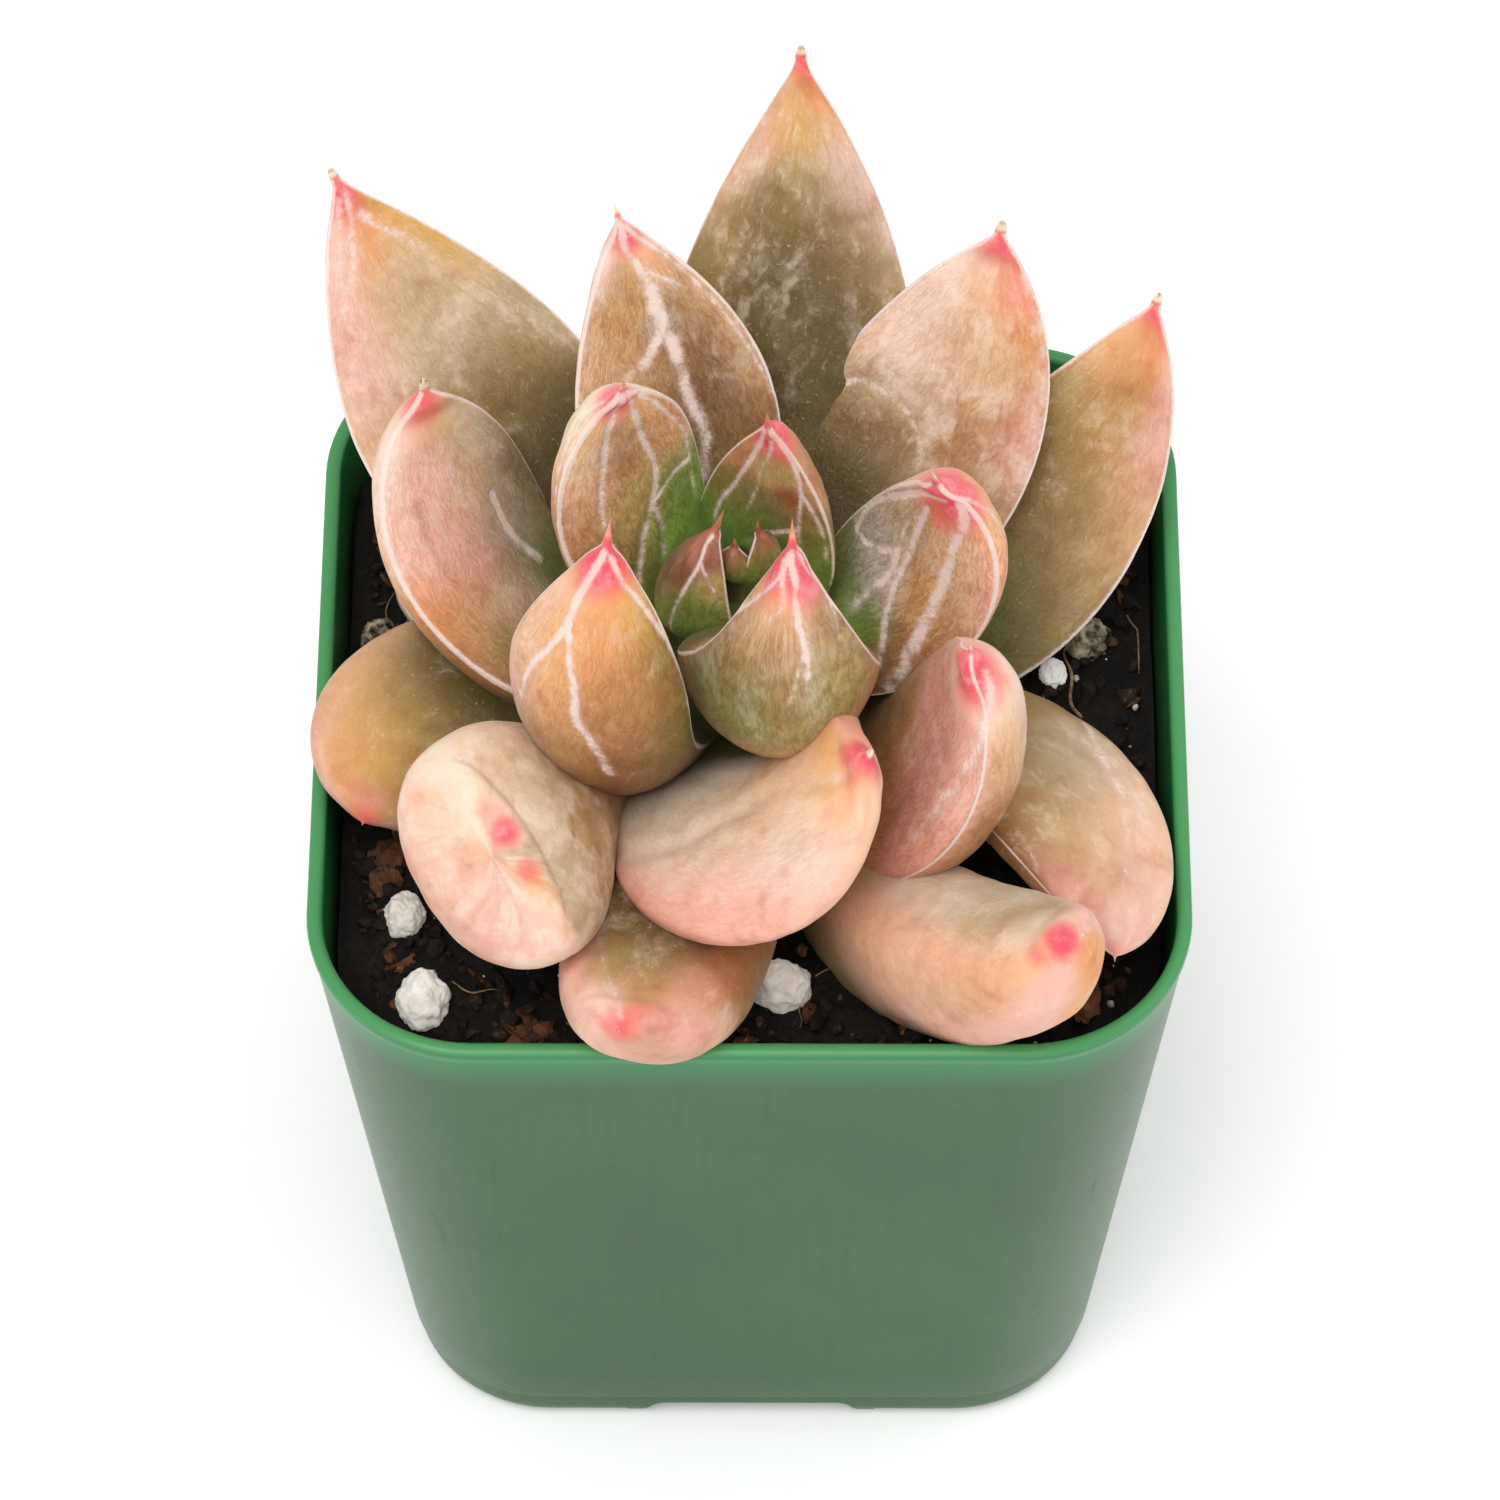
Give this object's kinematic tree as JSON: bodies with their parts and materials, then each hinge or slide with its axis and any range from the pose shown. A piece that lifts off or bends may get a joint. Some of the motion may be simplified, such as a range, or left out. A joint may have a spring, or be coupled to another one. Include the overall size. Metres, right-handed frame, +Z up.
{
  "type": "potted succulent",
  "caption": "Young rosette succulent with plump pink-tipped leaves growing in a small square tapered green nursery pot filled with potting mix.",
  "frame": {"origin": "middle of the pot's underside, on the surface that it stands on, which is also the middle of the whole object's plan box", "axes": "+Z up, -Y towards the front of the pot, +X to the right seen from the front"},
  "size_m": [0.054, 0.0589, 0.0791],
  "materials": {
    "pot": "satin moulded green plastic",
    "soil": "matte dark peat potting mix",
    "stem": "matte woody green-brown stem and roots",
    "leaf_outer": "waxy matte, tan to peach pink with an olive base and crimson tip",
    "leaf_middle": "waxy matte, peach pink with pale bloom lines and a crimson tip",
    "leaf_inner": "waxy matte, tan brown with white bloom lines and a hot pink tip",
    "leaf_heart": "waxy matte, green turning red brown at the tip",
    "perlite": "matte white porous grain",
    "pellet": "satin pale pellet",
    "bark": "matte brown bark chip"
  },
  "bodies": {
    "root": {"bark_chip_back": "bark", "bark_chip_front": "bark", "bark_chip_front_right": "bark", "bark_chip_left": "bark", "bark_chip_right": "bark", "leaf_heart_back": "leaf_heart", "leaf_heart_front": "leaf_heart", "leaf_heart_left": "leaf_heart", "leaf_heart_right": "leaf_heart", "leaf_inner_back": "leaf_inner", "leaf_inner_front": "leaf_inner", "leaf_inner_left": "leaf_inner", "leaf_inner_right": "leaf_inner", "leaf_low_back": "leaf_outer", "leaf_low_back_right": "leaf_outer", "leaf_low_left": "leaf_outer", "leaf_middle_back_right": "leaf_middle", "leaf_middle_front": "leaf_middle", "leaf_middle_front_left": "leaf_middle", "leaf_middle_front_right": "leaf_middle", "leaf_middle_left": "leaf_middle", "leaf_outer_back": "leaf_outer", "leaf_outer_back_left": "leaf_outer", "leaf_outer_back_right": "leaf_outer", "leaf_outer_front": "leaf_outer", "leaf_outer_front_left": "leaf_outer", "leaf_outer_front_right": "leaf_outer", "leaf_outer_left": "leaf_outer", "leaf_outer_right": "leaf_outer", "pellet_front_left": "pellet", "pellet_left": "pellet", "perlite_back": "perlite", "perlite_back_left": "perlite", "perlite_back_right": "perlite", "perlite_front": "perlite", "perlite_front_left": "perlite", "perlite_left": "perlite", "perlite_right": "perlite", "perlite_right_small": "perlite", "pot": "pot", "soil": "soil", "stem": "stem"}
  },
  "joints": []
}
